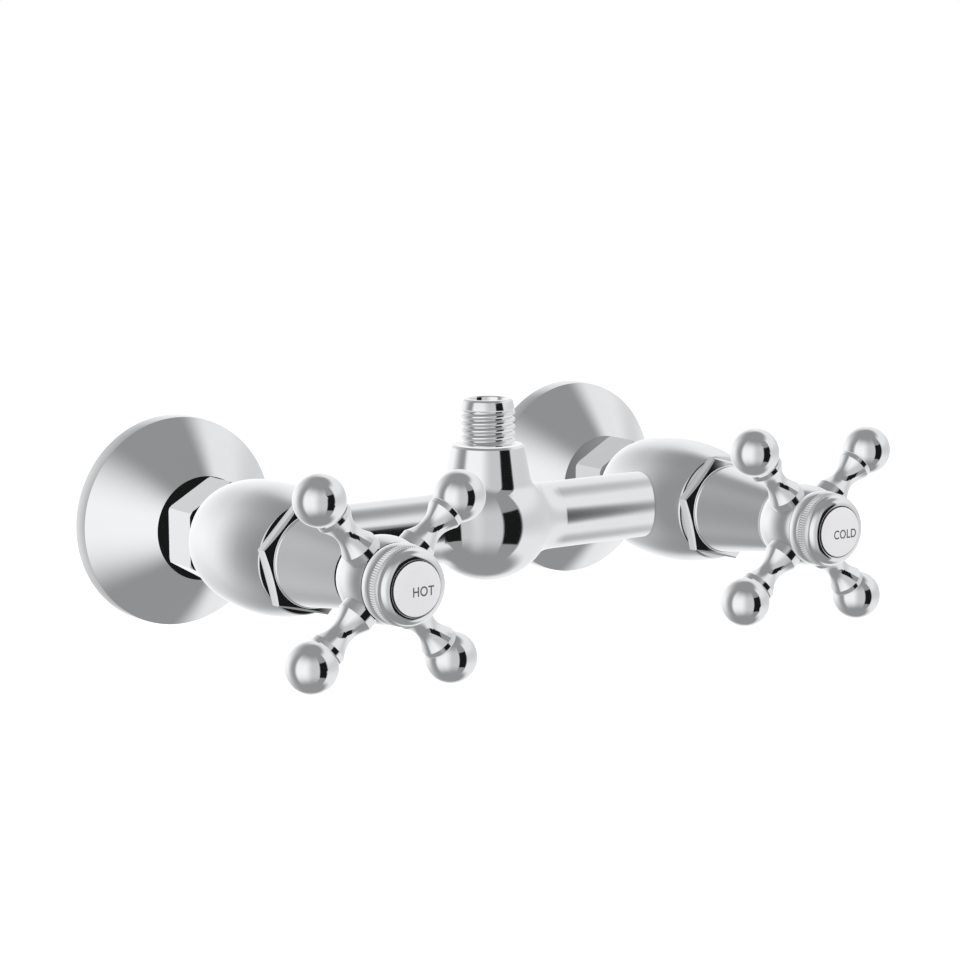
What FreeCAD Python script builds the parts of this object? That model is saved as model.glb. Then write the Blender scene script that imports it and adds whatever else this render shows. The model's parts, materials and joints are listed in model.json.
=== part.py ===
import FreeCAD, Part
import math
import os
from FreeCAD import Vector

# A bridge shower mixer for a wall. The wall is the plane y = 0 and the mixer stands out of it along -Y,
# with +X to the right along the wall and +Z up. The origin is midway between the two inlets.
# Sizes are in millimetres, and r at the end of a name is a radius.

os.makedirs("parts", exist_ok=True)

# Layout
INLET_CENTRES = 150.0
BRIDGE_REACH = 61.5

# Clearances, and how far a cut runs past the face it opens
FIT_GAP = 0.05
SEAL_GAP = 0.03
END_PLAY = 0.1
NUT_GAP = 0.2
HANDLE_GAP = 0.5
CAP_GAP = 0.15
INDEX_GAP = 0.34
OVERCUT = 1.0

# Wall flange: a hollow cone with a straight rim on a small foot, a flat front with the leg's hole, and a short inner collar
FLANGE_R = 33.0
FLANGE_FOOT = 0.9
FLANGE_RIM_R = 31.8
FLANGE_RIM_DEPTH = 3.75
FLANGE_MOUTH_R = 15.7
FLANGE_DEPTH = 20.5
FLANGE_WALL = 1.4
FLANGE_COLLAR_LENGTH = 8.0
FLANGE_RING_SETBACK = 5.0

# Inlet leg: thread for the wall fitting behind, a plain collar under the flange, union thread in front
LEG_THREAD_R = 10.478
LEG_TAIL = 18.0
LEG_WALL = 4.478
LEG_COLLAR_R = 13.0
LEG_SHOULDER = 1.0
LEG_CHAMFER = 1.2

# Union nut with its washer, and the flanged tailpiece that keeps it captive
NUT_ACROSS_FLATS = 28.0
NUT_REAR = 24.5
NUT_LENGTH = 13.0
NUT_LIP = 2.5
NUT_EDGE = 0.5
NUT_TURN = 30.0
WASHER_THICK = 2.0
TAIL_COLLAR_THICK = 2.5
TAIL_LAND = 1.278
TAIL_SCREW_SHARE = 0.48

# Valve barrel: an egg turned about the valve axis, widest where the bridge meets it
BARREL_R = 19.3
BARREL_REAR_R = 14.2
BARREL_FRONT_R = 15.4
BARREL_EDGE_R = 16.4
BARREL_EDGE = 0.8
BARREL_FRONT_REACH = 19.5
BARREL_REAR_ROUND = 3.6
BARREL_BELLY_REAR = 10.5
BARREL_BELLY_FRONT = 7.5
BARREL_FRONT_LEAN = 4.7
BARREL_FRONT_RISE = 1.35
SEAT_SETBACK = 6.5
CHAMBER_R = 12.6

# Headwork: hexagon on the barrel's front, cup for the ceramic discs behind, neck and nose in front
HEX_ACROSS_FLATS = 29.4
HEX_THICK = 3.4
HEX_EDGE = 0.8
HEX_CONE = 0.5
HEX_CONE_R = 12.9
HEX_TURN = -14.4
HEADWORK_THREAD_R = 11.15
HEADWORK_THREAD_LENGTH = 11.0
CUP_WALL = 1.95
NECK_R = 11.0
NECK_LENGTH = 7.1
NOSE_R = 7.8
NOSE_LENGTH = 8.5
WINDOW_WIDTH = 9.0
HEADWORK_RING_WIRE_R = 0.8

# Seat seal and ceramic discs
SEAL_THICK = 2.5
SEAL_PROUD = 0.8
SEAL_BORE_R = 5.6
SEAL_R = 7.6
CERAMIC_R = 8.4
CERAMIC_THICK = 3.5
PORT_INNER_R = 2.6
PORT_OUTER_R = 7.2
PORT_ANGLE = 78.0
NOTCH_ANGLE = 88.0
TANG_WIDTH = 3.0
TANG_DEPTH = 1.5

# Spindle, its ring and its circlip
SPINDLE_R = 5.0
SPINDLE_FLANGE_THICK = 2.5
SPINDLE_RING_REACH = 5.0
SPINDLE_RING_WIRE_R = 0.78
CLIP_THICK = 1.0
CLIP_R = 6.4
CLIP_GROOVE_R = 4.2
CLIP_OPENING = 5.0
SPINDLE_LAND = 1.4
DRIVE_SQUARE = 6.3
DRIVE_LENGTH = 6.0

# Bonnet sleeve: tapered cover screwed over the neck, with a round bead at its rear
SLEEVE_LENGTH = 26.1
SLEEVE_BEAD_R = 13.7
SLEEVE_BEAD_LENGTH = 1.5
SLEEVE_REAR_R = 13.3
SLEEVE_FRONT_R = 9.8
SLEEVE_WALL = 1.5

# Cross handle
HUB_R = 12.15
HUB_REAR_R = 10.1
HUB_FRONT_R = 11.1
HUB_LENGTH = 15.0
HUB_MIDDLE = 0.53
HUB_EDGE = 0.8
ARM_TURN = 41.2
ARM_COUNT = 4
ARM_SETBACK = 4.6
ARM_FOOT = 13.8
ARM_FOOT_R = 5.2
ARM_WAIST = 19.2
ARM_WAIST_R = 3.28
ARM_WAIST_HALF = 1.6
ARM_CONE = 2.4
ARM_CONE_SLOPE = 0.6
ARM_BEAD = 24.5
ARM_BEAD_R = 5.15
ARM_BEAD_LENGTH = 1.45
ARM_GROOVE_R = 4.95
BALL_REACH = 31.55
BALL_R = 7.25

# Handle screw
SCREW_R = 1.95
SCREW_LENGTH = 9.0
SCREW_HEAD_R = 3.8
SCREW_HEAD_THICK = 2.6
SCREW_DOME_MIDDLE = 0.75
SCREW_DOME_RISE = 0.85
SCREW_SOCKET = 3.0
SCREW_SOCKET_DEPTH = 1.5
HANDLE_WEB = 2.0

# Index cap and index disc
CAP_R = 11.25
CAP_REAR_R = 10.5
CAP_BEAD_LENGTH = 3.4
CAP_BEAD_MIDDLE = 0.45
CAP_BAND_R = 11.0
CAP_BAND_LENGTH = 3.3
CAP_FRONT_R = 10.64
CAP_LIP_LENGTH = 1.0
CAP_NOSE_LENGTH = 1.8
CAP_NOSE_MIDDLE = 0.62
CAP_SCREW_R = 8.0
CAP_SCREW_LENGTH = 3.5
CAP_WALL = 1.4
CAP_EDGE = 0.3
INDEX_R = 7.86
INDEX_RECESS = 1.6
INDEX_PROUD = 0.8
INDEX_EDGE = 0.35

# Bridge tubes, each with an end shaped to the barrel and a spigot with a ring at both ends
BRIDGE_R = 10.3
BRIDGE_BORE_R = 5.5
BRIDGE_SPIGOT_R = 8.4
BRIDGE_SPIGOT_LENGTH = 5.5
BRIDGE_RING_SETBACK = 2.0
BRIDGE_BARREL_GAP = 0.25
BRIDGE_RING_WIRE_R = 0.72

# Outlet body: a bell turned about the bridge axis, with a tapered neck standing up from it
BODY_R = 17.5
BODY_ROUND_R = 21.0
BODY_ROUND_HALF = 11.0
BODY_FLARE_INNER = 3.5
BODY_FLARE_OUTER = 7.0
BODY_HALF = 22.5
OUTLET_TOP = 24.0
OUTLET_TOP_R = 11.1
OUTLET_TAPER = 0.185
OUTLET_FILLET = 5.0
OUTLET_FOOT = 0.6
OUTLET_EDGE = 0.6
OUTLET_BORE_R = 6.0

# Outlet nipple with a pipe thread drawn as ridges, and the seal under it
NIPPLE_THREAD_R = 8.331
NIPPLE_ROOT_R = 7.45
NIPPLE_PITCH = 2.13
NIPPLE_RIDGES = 4
NIPPLE_CREST = 0.7
NIPPLE_RELIEF = 1.63
NIPPLE_LEAD = 3.75
NIPPLE_LEAD_R = 8.2
NIPPLE_LEAD_RISE = 0.5
NIPPLE_LEAD_SHOULDER = 3.1
NIPPLE_LEAD_FRONT_R = 7.6
NIPPLE_TOP_R = 6.9
NIPPLE_BORE_R = 5.5
NIPPLE_SPIGOT_R = 7.5
NIPPLE_SPIGOT_LENGTH = 9.8
NIPPLE_SEAL_THICK = 1.2

# Bores and necks that follow the inlet thread
leg_bore_r = LEG_THREAD_R - LEG_WALL
tail_neck_r = LEG_THREAD_R - TAIL_LAND

# Places along the valve axis, measured out from the wall
plate_back = FLANGE_DEPTH - FLANGE_WALL
nut_front = NUT_REAR + NUT_LENGTH
lip_back = nut_front - NUT_LIP
collar_back = lip_back - TAIL_COLLAR_THICK
leg_front = collar_back - WASHER_THICK
barrel_rear = nut_front + NUT_GAP
seat = BRIDGE_REACH - SEAT_SETBACK
tail_front = barrel_rear + (seat - barrel_rear) * TAIL_SCREW_SHARE
barrel_front = BRIDGE_REACH + BARREL_FRONT_REACH
chamber_front = barrel_front - HEADWORK_THREAD_LENGTH
hex_front = barrel_front + HEX_THICK
seal_front = seat + SEAL_THICK
fixed_front = seal_front + CERAMIC_THICK
moving_front = fixed_front + CERAMIC_THICK
spindle_flange_front = moving_front + SPINDLE_FLANGE_THICK
cup_step = spindle_flange_front + END_PLAY
neck_front = hex_front + NECK_LENGTH
nose_front = neck_front + NOSE_LENGTH
clip_back = nose_front + END_PLAY
clip_front = clip_back + CLIP_THICK
shaft_front = clip_front + SPINDLE_LAND
sleeve_front = hex_front + SLEEVE_LENGTH
hub_rear = sleeve_front + HANDLE_GAP
hub_front = hub_rear + HUB_LENGTH
drive_front = hub_rear + DRIVE_LENGTH
web_back = drive_front + END_PLAY
web_front = web_back + HANDLE_WEB
arm_level = hub_front - ARM_SETBACK
cap_rear = hub_front + CAP_GAP
cap_bead_front = cap_rear + CAP_BEAD_LENGTH
cap_band_front = cap_bead_front + CAP_BAND_LENGTH
cap_lip_front = cap_band_front + CAP_LIP_LENGTH
cap_front = cap_lip_front + CAP_NOSE_LENGTH
index_back = cap_front - INDEX_RECESS
index_front = cap_front + INDEX_PROUD

# Places along the bridge, measured out from the middle
valve_x = INLET_CENTRES / 2
bridge_end = valve_x - BARREL_R - BRIDGE_BARREL_GAP
barrel_spigot_end = bridge_end + BRIDGE_SPIGOT_LENGTH
body_spigot_end = BODY_HALF - BRIDGE_SPIGOT_LENGTH

WALL_ORIGIN = Vector(0, 0, 0)
OUTWARD = Vector(0, -1, 0)
RIGHT = Vector(1, 0, 0)
UP = Vector(0, 0, 1)
BRIDGE_ORIGIN = OUTWARD * BRIDGE_REACH


def outline(place, start, *steps):
    """Closed wire through (along, radius) points: a step is an end point, [mid, end] for an arc,
    or [pole, pole, end] for a Bezier curve."""
    edges = []
    here = start
    for step in steps + (start,):
        points = [here] + (step if isinstance(step, list) else [step])
        spots = [place(*point) for point in points]
        if len(spots) == 2:
            edges.append(Part.makeLine(*spots))
        elif len(spots) == 3:
            edges.append(Part.Arc(*spots).toShape())
        else:
            curve = Part.BezierCurve()
            curve.setPoles(spots)
            edges.append(curve.toShape())
        here = points[-1]
    return Part.Wire(edges)


def turned(origin, axis, start, *steps):
    """Solid of revolution about an axis, from an outline of (along, radius) points."""
    out = RIGHT if axis.cross(UP).Length < 0.1 else UP.cross(axis).normalize()
    wire = outline(lambda along, radius: origin + axis * along + out * radius, start, *steps)
    return Part.Face(wire).revolve(origin, axis, 360)


def valve_turned(start, *steps):
    """Solid turned about the valve axis, with distances out from the wall."""
    return turned(WALL_ORIGIN, OUTWARD, start, *steps)


def tube(radius, bore, rear, front):
    """Plain ring or tube on the valve axis."""
    return valve_turned((rear, bore), (rear, radius), (front, radius), (front, bore))


def rod(radius, rear, front):
    """Plain cylinder on the valve axis."""
    return Part.makeCylinder(radius, front - rear, OUTWARD * rear, OUTWARD)


def ring(origin, axis, radius, wire_radius):
    """Round-section O-ring about an axis."""
    return Part.makeTorus(radius, wire_radius, origin, axis)


def hexagon(across_flats, rear, front, turn):
    """Hexagonal prism on the valve axis, one corner at the angle turn from +X towards +Z."""
    corner = across_flats / math.sqrt(3)
    spots = []
    for side in range(6):
        angle = math.radians(turn + 60 * side)
        spots.append(Vector(corner * math.cos(angle), -rear, corner * math.sin(angle)))
    return Part.Face(Part.makePolygon(spots + spots[:1])).extrude(OUTWARD * (front - rear))


def sector(inner, outer, rear, front, middle, angle):
    """Piece of a ring on the valve axis, centred on the angle middle from +X towards +Z."""
    half = math.radians(angle / 2)
    centre = math.radians(middle)

    def spot(radius, turn):
        return Vector(radius * math.cos(turn), -rear, radius * math.sin(turn))

    low, high = centre - half, centre + half
    wire = Part.Wire([
        Part.Arc(spot(inner, low), spot(inner, centre), spot(inner, high)).toShape(),
        Part.makeLine(spot(inner, high), spot(outer, high)),
        Part.Arc(spot(outer, high), spot(outer, centre), spot(outer, low)).toShape(),
        Part.makeLine(spot(outer, low), spot(inner, low)),
    ])
    return Part.Face(wire).extrude(OUTWARD * (front - rear))


def bar(width, height, rear, front):
    """Rectangular bar centred on the valve axis, width along X and height along Z."""
    return Part.makeBox(width, front - rear, height, Vector(-width / 2, -front, -height / 2))


def wall_flange():
    slope = (FLANGE_RIM_R - FLANGE_MOUTH_R) / (FLANGE_DEPTH - FLANGE_RIM_DEPTH)
    axial_wall = FLANGE_WALL * math.hypot(1, 1 / slope)
    collar_r = FLANGE_MOUTH_R + FLANGE_WALL
    inner_rim_r = FLANGE_RIM_R - FLANGE_WALL

    def inside(radius):
        return FLANGE_DEPTH - axial_wall - (radius - FLANGE_MOUTH_R) / slope

    collar_back_end = FLANGE_DEPTH - FLANGE_COLLAR_LENGTH
    hole_r = LEG_THREAD_R + FIT_GAP
    return valve_turned(
        (0, inner_rim_r),
        (0, FLANGE_R),
        (FLANGE_FOOT, FLANGE_RIM_R),
        (FLANGE_RIM_DEPTH, FLANGE_RIM_R),
        (FLANGE_DEPTH, FLANGE_MOUTH_R),
        (FLANGE_DEPTH, hole_r),
        (plate_back, hole_r),
        (plate_back, FLANGE_MOUTH_R),
        (collar_back_end, FLANGE_MOUTH_R),
        (collar_back_end, collar_r),
        (inside(collar_r), collar_r),
        (inside(inner_rim_r), inner_rim_r),
    )


def inlet_leg():
    collar_front = plate_back - END_PLAY
    return valve_turned(
        (-LEG_TAIL, leg_bore_r),
        (-LEG_TAIL, LEG_THREAD_R - LEG_CHAMFER),
        (LEG_CHAMFER - LEG_TAIL, LEG_THREAD_R),
        (LEG_SHOULDER, LEG_THREAD_R),
        (LEG_SHOULDER, LEG_COLLAR_R),
        (collar_front, LEG_COLLAR_R),
        (collar_front, LEG_THREAD_R),
        (leg_front - LEG_CHAMFER, LEG_THREAD_R),
        (leg_front, LEG_THREAD_R - LEG_CHAMFER),
        (leg_front, leg_bore_r),
    )


def flange_o_ring():
    wire_radius = (FLANGE_MOUTH_R - LEG_COLLAR_R) / 2 - SEAL_GAP
    radius = (FLANGE_MOUTH_R + LEG_COLLAR_R) / 2
    return ring(OUTWARD * (FLANGE_DEPTH - FLANGE_RING_SETBACK), OUTWARD, radius, wire_radius)


def union_nut():
    corner = NUT_ACROSS_FLATS / math.sqrt(3)
    edge_r = corner - NUT_EDGE
    rounded = valve_turned(
        (NUT_REAR, 0),
        (NUT_REAR, edge_r),
        (NUT_REAR + NUT_EDGE, corner),
        (nut_front - NUT_EDGE, corner),
        (nut_front, edge_r),
        (nut_front, 0),
    )
    blank = hexagon(NUT_ACROSS_FLATS, NUT_REAR, nut_front, NUT_TURN).common(rounded)
    thread = rod(LEG_THREAD_R + FIT_GAP, NUT_REAR - OVERCUT, lip_back)
    lip = rod(tail_neck_r + FIT_GAP, lip_back - OVERCUT, nut_front + OVERCUT)
    return blank.cut(thread).cut(lip)


def union_washer():
    return tube(LEG_THREAD_R - LEG_CHAMFER, leg_bore_r, leg_front, collar_back)


def inlet_tailpiece():
    return valve_turned(
        (collar_back, leg_bore_r),
        (collar_back, LEG_THREAD_R - FIT_GAP),
        (lip_back, LEG_THREAD_R - FIT_GAP),
        (lip_back, tail_neck_r),
        (tail_front, tail_neck_r),
        (tail_front, leg_bore_r),
    )


def barrel_outside(grow):
    """Steps along the outside of the barrel from rear to front, standing off it by grow."""
    edge_rear = barrel_front - BARREL_EDGE
    corner_r = BARREL_EDGE_R - BARREL_EDGE * BARREL_FRONT_RISE / BARREL_FRONT_LEAN
    return [
        (barrel_rear, BARREL_REAR_R + grow),
        [
            (barrel_rear + BARREL_REAR_ROUND, BARREL_REAR_R + BARREL_REAR_ROUND + grow),
            (BRIDGE_REACH - BARREL_BELLY_REAR, BARREL_R + grow),
            (BRIDGE_REACH, BARREL_R + grow),
        ],
        [
            (BRIDGE_REACH + BARREL_BELLY_FRONT, BARREL_R + grow),
            (edge_rear - BARREL_FRONT_LEAN, BARREL_EDGE_R + BARREL_FRONT_RISE + grow),
            (edge_rear, BARREL_EDGE_R + grow),
        ],
        [
            (barrel_front, corner_r + grow),
            (barrel_front, corner_r + grow),
            (barrel_front, BARREL_FRONT_R + grow),
        ],
    ]


def valve_barrel(inward):
    """Barrel with its bridge socket on the side that inward, +1 or -1 along X, points to."""
    ring_land = HEADWORK_THREAD_R + 2 * HEADWORK_RING_WIRE_R + SEAL_GAP
    shell = valve_turned(
        (barrel_rear, tail_neck_r + FIT_GAP),
        *barrel_outside(0),
        (barrel_front, ring_land),
        (barrel_front - 2 * HEADWORK_RING_WIRE_R, ring_land),
        (barrel_front - 2 * HEADWORK_RING_WIRE_R, HEADWORK_THREAD_R + FIT_GAP),
        (chamber_front, HEADWORK_THREAD_R + FIT_GAP),
        (chamber_front, CHAMBER_R),
        (seat, CHAMBER_R),
        (seat, SEAL_BORE_R),
        (tail_front, SEAL_BORE_R),
        (tail_front, tail_neck_r + FIT_GAP),
    )
    aim = RIGHT * inward
    socket_floor = valve_x - barrel_spigot_end - END_PLAY
    passage_floor = CHAMBER_R - CUP_WALL
    socket = Part.makeCylinder(BRIDGE_SPIGOT_R + FIT_GAP, BARREL_R, BRIDGE_ORIGIN + aim * socket_floor, aim)
    passage = Part.makeCylinder(BRIDGE_BORE_R, BARREL_R, BRIDGE_ORIGIN + aim * passage_floor, aim)
    return shell.cut(socket).cut(passage)


def headwork_body():
    cup_bore = CERAMIC_R + FIT_GAP
    cup_rear = seat + SEAL_PROUD
    core = valve_turned(
        (cup_rear, cup_bore),
        (cup_rear, cup_bore + CUP_WALL),
        (chamber_front, cup_bore + CUP_WALL),
        (chamber_front, HEADWORK_THREAD_R),
        (hex_front - HEX_THICK / 2, HEADWORK_THREAD_R),
        (hex_front - HEX_THICK / 2, NECK_R),
        (neck_front, NECK_R),
        (neck_front, NOSE_R),
        (nose_front, NOSE_R),
        (nose_front, SPINDLE_R + FIT_GAP),
        (cup_step, SPINDLE_R + FIT_GAP),
        (cup_step, cup_bore),
    )
    corner = HEX_ACROSS_FLATS / math.sqrt(3)
    coned = valve_turned(
        (barrel_front, 0),
        (barrel_front, corner),
        (hex_front - HEX_CONE, corner),
        (hex_front, HEX_CONE_R),
        (hex_front, 0),
    )
    plate = hexagon(HEX_ACROSS_FLATS, barrel_front, hex_front, HEX_TURN)
    front_edges = [edge for edge in plate.Edges if edge.BoundBox.YMax < HEX_EDGE - hex_front]
    plate = plate.makeChamfer(HEX_EDGE, front_edges).common(coned)
    plate = plate.cut(rod(SPINDLE_R + FIT_GAP, barrel_front - OVERCUT, hex_front + OVERCUT))
    window = bar(4 * CERAMIC_R, WINDOW_WIDTH, fixed_front + END_PLAY, spindle_flange_front)
    return core.fuse(plate).cut(window.cut(rod(cup_bore, seat, hex_front))).removeSplitter()


def headwork_o_ring():
    radius = HEADWORK_THREAD_R + HEADWORK_RING_WIRE_R
    centre = OUTWARD * (barrel_front - HEADWORK_RING_WIRE_R)
    return ring(centre, OUTWARD, radius, HEADWORK_RING_WIRE_R - SEAL_GAP)


def seat_seal():
    return tube(SEAL_R, SEAL_BORE_R, seat, seal_front)


def fixed_disc():
    disc = rod(CERAMIC_R, seal_front, fixed_front)
    rear, front = seal_front - OVERCUT, fixed_front + OVERCUT
    for middle in (0, 180):
        disc = disc.cut(sector(PORT_INNER_R, PORT_OUTER_R, rear, front, middle, PORT_ANGLE))
    return disc


def moving_disc():
    disc = rod(CERAMIC_R, fixed_front, moving_front)
    rear, front = fixed_front - OVERCUT, moving_front + OVERCUT
    for middle in (90, 270):
        disc = disc.cut(sector(PORT_INNER_R, CERAMIC_R + OVERCUT, rear, front, middle, NOTCH_ANGLE))
    slot = TANG_WIDTH + 2 * FIT_GAP
    return disc.cut(bar(3 * CERAMIC_R, slot, moving_front - TANG_DEPTH - END_PLAY, front))


def spindle_ring_centre():
    return hex_front + SPINDLE_RING_REACH


def spindle():
    groove = spindle_ring_centre()
    groove_half = SPINDLE_RING_WIRE_R + SEAL_GAP
    groove_r = SPINDLE_R + FIT_GAP - SEAL_GAP - 2 * SPINDLE_RING_WIRE_R - SEAL_GAP
    shaft = valve_turned(
        (moving_front, 0),
        (moving_front, CERAMIC_R - FIT_GAP),
        (spindle_flange_front, CERAMIC_R - FIT_GAP),
        (spindle_flange_front, SPINDLE_R),
        (groove - groove_half, SPINDLE_R),
        (groove - groove_half, groove_r),
        (groove + groove_half, groove_r),
        (groove + groove_half, SPINDLE_R),
        (clip_back - SEAL_GAP, SPINDLE_R),
        (clip_back - SEAL_GAP, CLIP_GROOVE_R),
        (clip_front + SEAL_GAP, CLIP_GROOVE_R),
        (clip_front + SEAL_GAP, SPINDLE_R),
        (shaft_front, SPINDLE_R),
        (shaft_front, 0),
    )
    tang = bar(2 * PORT_OUTER_R, TANG_WIDTH, moving_front - TANG_DEPTH, moving_front + OVERCUT)
    drive = bar(DRIVE_SQUARE, DRIVE_SQUARE, shaft_front - OVERCUT, drive_front)
    tapped = rod(SCREW_R + FIT_GAP, web_front - SCREW_LENGTH - OVERCUT, drive_front + OVERCUT)
    return shaft.fuse([tang, drive]).cut(tapped).removeSplitter()


def spindle_o_ring():
    radius = SPINDLE_R + FIT_GAP - SEAL_GAP - SPINDLE_RING_WIRE_R
    return ring(OUTWARD * spindle_ring_centre(), OUTWARD, radius, SPINDLE_RING_WIRE_R)


def spindle_circlip():
    clip = tube(CLIP_R, CLIP_GROOVE_R + SEAL_GAP, clip_back, clip_front)
    opening = Part.makeBox(CLIP_OPENING, 4 * CLIP_THICK, 2 * CLIP_R)
    opening.translate(Vector(-CLIP_OPENING / 2, -clip_front - CLIP_THICK, 0))
    return clip.cut(opening)


def bonnet_sleeve():
    bead_front = hex_front + SLEEVE_BEAD_LENGTH
    taper = (SLEEVE_REAR_R - SLEEVE_FRONT_R) / (sleeve_front - bead_front)
    bore = NECK_R + FIT_GAP
    inner_front_r = SLEEVE_FRONT_R - SLEEVE_WALL
    bore_front = sleeve_front - (bore - inner_front_r) / taper
    return valve_turned(
        (hex_front, bore),
        (hex_front, SLEEVE_REAR_R),
        [(hex_front + SLEEVE_BEAD_LENGTH / 2, SLEEVE_BEAD_R), (bead_front, SLEEVE_REAR_R)],
        (sleeve_front, SLEEVE_FRONT_R),
        (sleeve_front, inner_front_r),
        (bore_front, bore),
    )


def cross_handle():
    hub = valve_turned(
        (hub_rear, 0),
        (hub_rear, HUB_REAR_R - HUB_EDGE),
        (hub_rear + HUB_EDGE, HUB_REAR_R),
        [(hub_rear + HUB_LENGTH * HUB_MIDDLE, HUB_R), (hub_front, HUB_FRONT_R)],
        (hub_front, 0),
    )
    cone_drop = ARM_CONE * ARM_CONE_SLOPE
    ball_foot = BALL_REACH - math.sqrt(BALL_R ** 2 - ARM_GROOVE_R ** 2)
    arms = []
    for number in range(ARM_COUNT):
        angle = math.radians(ARM_TURN + 360 / ARM_COUNT * number)
        reach = Vector(math.cos(angle), 0, math.sin(angle))
        arms.append(turned(
            OUTWARD * arm_level, reach,
            (CAP_SCREW_R / 2, 0),
            (CAP_SCREW_R / 2, ARM_FOOT_R),
            (ARM_FOOT, ARM_FOOT_R),
            [
                (ARM_FOOT + ARM_CONE, ARM_FOOT_R - cone_drop),
                (ARM_WAIST - ARM_WAIST_HALF, ARM_WAIST_R),
                (ARM_WAIST, ARM_WAIST_R),
            ],
            [
                (ARM_WAIST + ARM_WAIST_HALF, ARM_WAIST_R),
                (ARM_BEAD - ARM_CONE, ARM_BEAD_R - cone_drop),
                (ARM_BEAD, ARM_BEAD_R),
            ],
            (ARM_BEAD + ARM_BEAD_LENGTH, ARM_BEAD_R),
            (ball_foot, ARM_GROOVE_R),
            [(BALL_REACH, BALL_R), (BALL_REACH + BALL_R, 0)],
        ))
    handle = hub.fuse(arms)
    drive = bar(DRIVE_SQUARE + 2 * FIT_GAP, DRIVE_SQUARE + 2 * FIT_GAP, hub_rear - OVERCUT, web_back)
    screw_hole = rod(SCREW_R + 2 * FIT_GAP, web_back - OVERCUT, web_front + OVERCUT)
    recess = rod(CAP_SCREW_R + FIT_GAP, web_front, hub_front + 2 * BALL_R)
    cap_room = tube(CAP_R + CAP_GAP, CAP_SCREW_R, hub_front, hub_front + 2 * BALL_R)
    return handle.cut([drive, screw_hole, recess, cap_room]).removeSplitter()


def handle_screw():
    head_front = web_front + SCREW_HEAD_THICK
    dome_middle = (web_front + SCREW_HEAD_THICK * SCREW_DOME_RISE, SCREW_HEAD_R * SCREW_DOME_MIDDLE)
    screw = valve_turned(
        (web_front - SCREW_LENGTH, 0),
        (web_front - SCREW_LENGTH, SCREW_R),
        (web_front, SCREW_R),
        (web_front, SCREW_HEAD_R),
        (web_front + SCREW_HEAD_THICK / 2, SCREW_HEAD_R),
        [dome_middle, (head_front, 0)],
    )
    socket = hexagon(SCREW_SOCKET, head_front - SCREW_SOCKET_DEPTH, head_front + OVERCUT, 0)
    return screw.cut(socket)


def index_cap():
    recess_r = INDEX_R + INDEX_GAP
    hollow_r = CAP_SCREW_R - CAP_WALL
    nose_r = (CAP_FRONT_R + recess_r) / 2 + CAP_EDGE
    nose_middle = (cap_lip_front + CAP_NOSE_LENGTH * CAP_NOSE_MIDDLE, nose_r)
    return valve_turned(
        (cap_rear - CAP_SCREW_LENGTH, hollow_r),
        (cap_rear - CAP_SCREW_LENGTH, CAP_SCREW_R),
        (cap_rear, CAP_SCREW_R),
        (cap_rear, CAP_REAR_R),
        [(cap_rear + CAP_BEAD_LENGTH * CAP_BEAD_MIDDLE, CAP_R), (cap_bead_front, CAP_FRONT_R)],
        (cap_bead_front + CAP_EDGE, CAP_BAND_R),
        (cap_band_front - CAP_EDGE, CAP_BAND_R),
        (cap_band_front, CAP_FRONT_R),
        (cap_lip_front, CAP_FRONT_R),
        [nose_middle, (cap_front, recess_r + CAP_EDGE)],
        (cap_front, recess_r),
        (index_back, recess_r),
        (index_back, 0),
        (index_back - CAP_WALL, 0),
        (index_back - CAP_WALL, hollow_r),
    )


def index_disc():
    return valve_turned(
        (index_back, 0),
        (index_back, INDEX_R),
        (index_front - INDEX_EDGE, INDEX_R),
        (index_front, INDEX_R - INDEX_EDGE),
        (index_front, 0),
    )


def bridge_ring_places():
    """Where the two rings of a bridge tube lie, from the middle of the bridge."""
    return body_spigot_end + BRIDGE_RING_SETBACK, barrel_spigot_end - BRIDGE_RING_SETBACK


def bridge_tube(aim):
    """Tube from the outlet body towards the barrel that aim points to, with a grooved spigot at each end."""
    groove_r = BRIDGE_SPIGOT_R - 2 * BRIDGE_RING_WIRE_R
    groove_half = BRIDGE_RING_WIRE_R + SEAL_GAP
    body_ring, barrel_ring = bridge_ring_places()
    core = turned(
        BRIDGE_ORIGIN, aim,
        (body_spigot_end, BRIDGE_BORE_R),
        (body_spigot_end, BRIDGE_SPIGOT_R),
        (body_ring - groove_half, BRIDGE_SPIGOT_R),
        (body_ring - groove_half, groove_r),
        (body_ring + groove_half, groove_r),
        (body_ring + groove_half, BRIDGE_SPIGOT_R),
        (barrel_ring - groove_half, BRIDGE_SPIGOT_R),
        (barrel_ring - groove_half, groove_r),
        (barrel_ring + groove_half, groove_r),
        (barrel_ring + groove_half, BRIDGE_SPIGOT_R),
        (barrel_spigot_end, BRIDGE_SPIGOT_R),
        (barrel_spigot_end, BRIDGE_BORE_R),
    )
    sleeve = turned(
        BRIDGE_ORIGIN, aim,
        (BODY_HALF, BRIDGE_BORE_R),
        (BODY_HALF, BRIDGE_R),
        (barrel_spigot_end, BRIDGE_R),
        (barrel_spigot_end, BRIDGE_BORE_R),
    )
    barrel_room = valve_turned(
        (barrel_rear, 0),
        *barrel_outside(BRIDGE_BARREL_GAP),
        (barrel_front, 0),
    )
    return sleeve.cut(barrel_room.translated(aim * valve_x)).fuse(core).removeSplitter()


def bridge_o_rings(aim):
    radius = BRIDGE_SPIGOT_R - BRIDGE_RING_WIRE_R + SEAL_GAP
    return [ring(BRIDGE_ORIGIN + aim * place, aim, radius, BRIDGE_RING_WIRE_R - SEAL_GAP)
            for place in bridge_ring_places()]


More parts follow.
